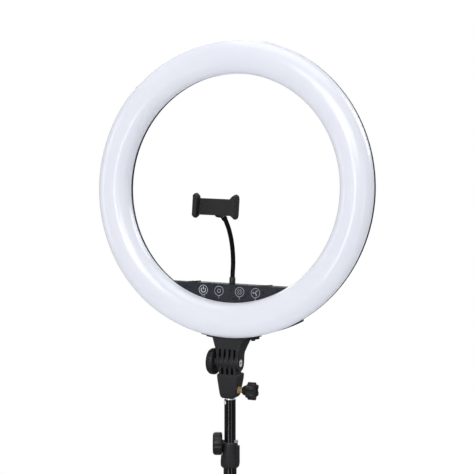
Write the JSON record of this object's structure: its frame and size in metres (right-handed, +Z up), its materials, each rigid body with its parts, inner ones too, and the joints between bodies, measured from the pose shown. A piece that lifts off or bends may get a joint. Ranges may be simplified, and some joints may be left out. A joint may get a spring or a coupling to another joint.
{
  "type": "ring light",
  "caption": "Large LED ring light on a folding tripod stand, with a tilting head, touch control panel and a gooseneck phone holder inside the ring.",
  "frame": {"origin": "on the floor, on the stand's axis", "axes": "+Z up along the stand's axis, -Y the way the lit side faces, +X to the viewer's right when facing the light"},
  "size_m": [0.7894, 0.6865, 1.32],
  "materials": {
    "black_plastic": "satin moulded ABS",
    "knob_plastic": "fine-textured nylon",
    "diffuser": "milky satin acrylic",
    "panel": "glossy touch film",
    "board_white": "white solder mask",
    "board_green": "green solder mask",
    "led": "LED packages",
    "chips": "component bodies",
    "black_steel": "black oxide",
    "bright_steel": "zinc plated",
    "brass": "turned brass",
    "tube_black": "black anodised, glossy",
    "neck_sheath": "smooth sheath",
    "grey_metal": "matt cast",
    "grey_nylon": "pale nylon",
    "pad": "soft pad",
    "foot": "moulded rubber"
  },
  "bodies": {
    "column": {"tube_bottom": "tube_black", "collar_2": "black_plastic", "lower_hub": "black_plastic", "hub_pins": "bright_steel"},
    "middle_section": {"tube_mid": "tube_black", "collar_1": "black_plastic", "collar_1_liner": "grey_nylon"},
    "top_section": {"tube_top": "tube_black", "spigot": "bright_steel", "spigot_rivet": "bright_steel"},
    "collar_lock_1": {"collar_1_knob": "knob_plastic"},
    "collar_lock_2": {"collar_2_knob": "knob_plastic"},
    "yoke": {"bracket_lower": "black_plastic", "thumb_insert": "brass"},
    "thumb_lock": {"thumb_screw": "brass", "thumb_knob": "knob_plastic"},
    "head": {"rear_housing": "black_plastic", "diffuser": "diffuser", "led_board": "board_white", "led_chips": "led", "control_panel": "panel", "touch_board": "board_green", "driver_board": "board_green", "driver_parts": "chips", "rear_cover": "black_plastic", "head_screws": "black_steel", "dc_jack": "chips", "bracket_upper": "black_plastic", "tilt_bolt": "black_steel", "tilt_nut": "bright_steel", "neck_ferrule": "black_plastic", "neck_base": "neck_sheath"},
    "tilt_lock": {"tilt_knob": "knob_plastic"},
    "neck_1": {"neck_link_1": "neck_sheath"},
    "neck_2": {"neck_link_2": "neck_sheath"},
    "neck_3": {"neck_link_3": "neck_sheath"},
    "neck_4": {"neck_link_4": "neck_sheath"},
    "neck_5": {"neck_link_5": "neck_sheath", "neck_tip": "grey_metal"},
    "holder_joint": {"ball_cup": "grey_metal"},
    "holder": {"holder_plate": "black_plastic", "fixed_pad": "pad", "jaw_spring": "bright_steel"},
    "jaw": {"sliding_jaw": "black_plastic", "sliding_pad": "pad"},
    "brace_1_arm": {"brace_1": "tube_black"},
    "brace_2_arm": {"brace_2": "tube_black"},
    "brace_3_arm": {"brace_3": "tube_black"},
    "leg_1_arm": {"leg_1": "tube_black", "knee_pin_1": "bright_steel", "foot_1": "foot"},
    "leg_2_arm": {"leg_2": "tube_black", "knee_pin_2": "bright_steel", "foot_2": "foot"},
    "leg_3_arm": {"leg_3": "tube_black", "knee_pin_3": "bright_steel", "foot_3": "foot"},
    "leg_collar_ring": {"leg_collar": "black_plastic", "collar_pins": "bright_steel"},
    "leg_collar_lock": {"leg_collar_knob": "knob_plastic"}
  },
  "joints": [
    {"name": "middle_tube_slide", "type": "slide", "parent": "column", "child": "middle_section", "axis": [0, 0, 1], "range_m": [-0.058, 0.385]},
    {"name": "top_tube_slide", "type": "slide", "parent": "middle_section", "child": "top_section", "axis": [0, 0, 1], "range_m": [-0.048, 0.36]},
    {"name": "head_pan", "type": "hinge", "parent": "top_section", "child": "yoke", "pos_m": [0, 0, 0.8245], "axis": [0, 0, 1], "continuous": true},
    {"name": "head_tilt", "type": "hinge", "parent": "yoke", "child": "head", "pos_m": [0, 0, 0.8245], "axis": [1, 0, 0], "range_deg": [-80, 90]},
    {"name": "tilt_knob_turn", "type": "hinge", "parent": "head", "child": "tilt_lock", "pos_m": [-0.03, 0, 0.8245], "axis": [-1, 0, 0], "range_deg": [0, 360]},
    {"name": "thumb_screw_turn", "type": "hinge", "parent": "yoke", "child": "thumb_lock", "pos_m": [0.04, 0, 0.7825], "axis": [1, 0, 0], "range_deg": [0, 360]},
    {"name": "upper_collar_knob_turn", "type": "hinge", "parent": "middle_section", "child": "collar_lock_1", "pos_m": [-0.01841, -0.00782, 0.6971], "axis": [-0.9205, -0.3907, 0], "range_deg": [0, 360]},
    {"name": "lower_collar_knob_turn", "type": "hinge", "parent": "column", "child": "collar_lock_2", "pos_m": [-0.01841, -0.00782, 0.5826], "axis": [-0.9205, -0.3907, 0], "range_deg": [0, 360]},
    {"name": "neck_bend_1", "type": "hinge", "parent": "head", "child": "neck_1", "pos_m": [0, 0.01191, 0.978], "axis": [1, 0, 0], "range_deg": [-30, 12]},
    {"name": "neck_sway_2", "type": "hinge", "parent": "neck_1", "child": "neck_2", "pos_m": [0, 0.01016, 0.99672], "axis": [0, 0.9816, 0.1907], "range_deg": [-20, 20]},
    {"name": "neck_bend_3", "type": "hinge", "parent": "neck_2", "child": "neck_3", "pos_m": [0, 0.00477, 1.01473], "axis": [1, 0, 0], "range_deg": [-30, 12]},
    {"name": "neck_sway_4", "type": "hinge", "parent": "neck_3", "child": "neck_4", "pos_m": [0, -0.00405, 1.03133], "axis": [0, 0.8324, 0.5542], "range_deg": [-20, 20]},
    {"name": "neck_bend_5", "type": "hinge", "parent": "neck_4", "child": "neck_5", "pos_m": [0, -0.01596, 1.04587], "axis": [1, 0, 0], "range_deg": [-30, 12]},
    {"name": "holder_tilt", "type": "hinge", "parent": "neck_5", "child": "holder_joint", "pos_m": [0, -0.03174, 1.0588], "axis": [1, 0, 0], "range_deg": [-60, 20]},
    {"name": "holder_turn", "type": "hinge", "parent": "holder_joint", "child": "holder", "pos_m": [0, -0.04065, 1.06006], "axis": [0, -0.9903, 0.1392], "continuous": true},
    {"name": "jaw_slide", "type": "slide", "parent": "holder", "child": "jaw", "axis": [1, 0, 0], "range_m": [0, 0.028], "stiffness_N_per_m": 150, "springref_m": -0.02, "deforming": ["jaw_spring"]},
    {"name": "brace_fold_1", "type": "hinge", "parent": "column", "child": "brace_1_arm", "pos_m": [0, -0.028, 0.085], "axis": [-1, 0, 0], "range_deg": [0, 48]},
    {"name": "leg_fold_1", "type": "hinge", "parent": "brace_1_arm", "child": "leg_1_arm", "pos_m": [0, -0.1856, 0.20813], "axis": [-1, 0, 0], "range_deg": [-96, 0]},
    {"name": "leg_collar_hinge", "type": "hinge", "parent": "leg_1_arm", "child": "leg_collar_ring", "pos_m": [0, -0.028, 0.33126], "axis": [-1, 0, 0], "range_deg": [0, 48]},
    {"name": "brace_fold_2", "type": "hinge", "parent": "column", "child": "brace_2_arm", "pos_m": [0.02425, 0.014, 0.085], "axis": [0.5, -0.866, 0], "range_deg": [0, 48]},
    {"name": "leg_fold_2", "type": "hinge", "parent": "brace_2_arm", "child": "leg_2_arm", "pos_m": [0.16074, 0.0928, 0.20813], "axis": [0.5, -0.866, 0], "range_deg": [-96, 0]},
    {"name": "brace_fold_3", "type": "hinge", "parent": "column", "child": "brace_3_arm", "pos_m": [-0.02425, 0.014, 0.085], "axis": [0.5, 0.866, 0], "range_deg": [0, 48]},
    {"name": "leg_fold_3", "type": "hinge", "parent": "brace_3_arm", "child": "leg_3_arm", "pos_m": [-0.16074, 0.0928, 0.20813], "axis": [0.5, 0.866, 0], "range_deg": [-96, 0]},
    {"name": "leg_collar_knob_turn", "type": "hinge", "parent": "leg_collar_ring", "child": "leg_collar_lock", "pos_m": [0, 0.025, 0.34126], "axis": [0, 1, 0], "range_deg": [0, 360]}
  ],
  "couplings": [
    {"joint": "neck_bend_3", "follows": "neck_bend_1", "ratio": 1},
    {"joint": "neck_bend_5", "follows": "neck_bend_1", "ratio": 1},
    {"joint": "neck_sway_4", "follows": "neck_sway_2", "ratio": 1},
    {"joint": "leg_fold_1", "follows": "brace_fold_1", "ratio": -2},
    {"joint": "leg_collar_hinge", "follows": "brace_fold_1", "ratio": 1},
    {"joint": "brace_fold_2", "follows": "brace_fold_1", "ratio": 1},
    {"joint": "leg_fold_2", "follows": "brace_fold_1", "ratio": -2},
    {"joint": "brace_fold_3", "follows": "brace_fold_1", "ratio": 1},
    {"joint": "leg_fold_3", "follows": "brace_fold_1", "ratio": -2}
  ]
}
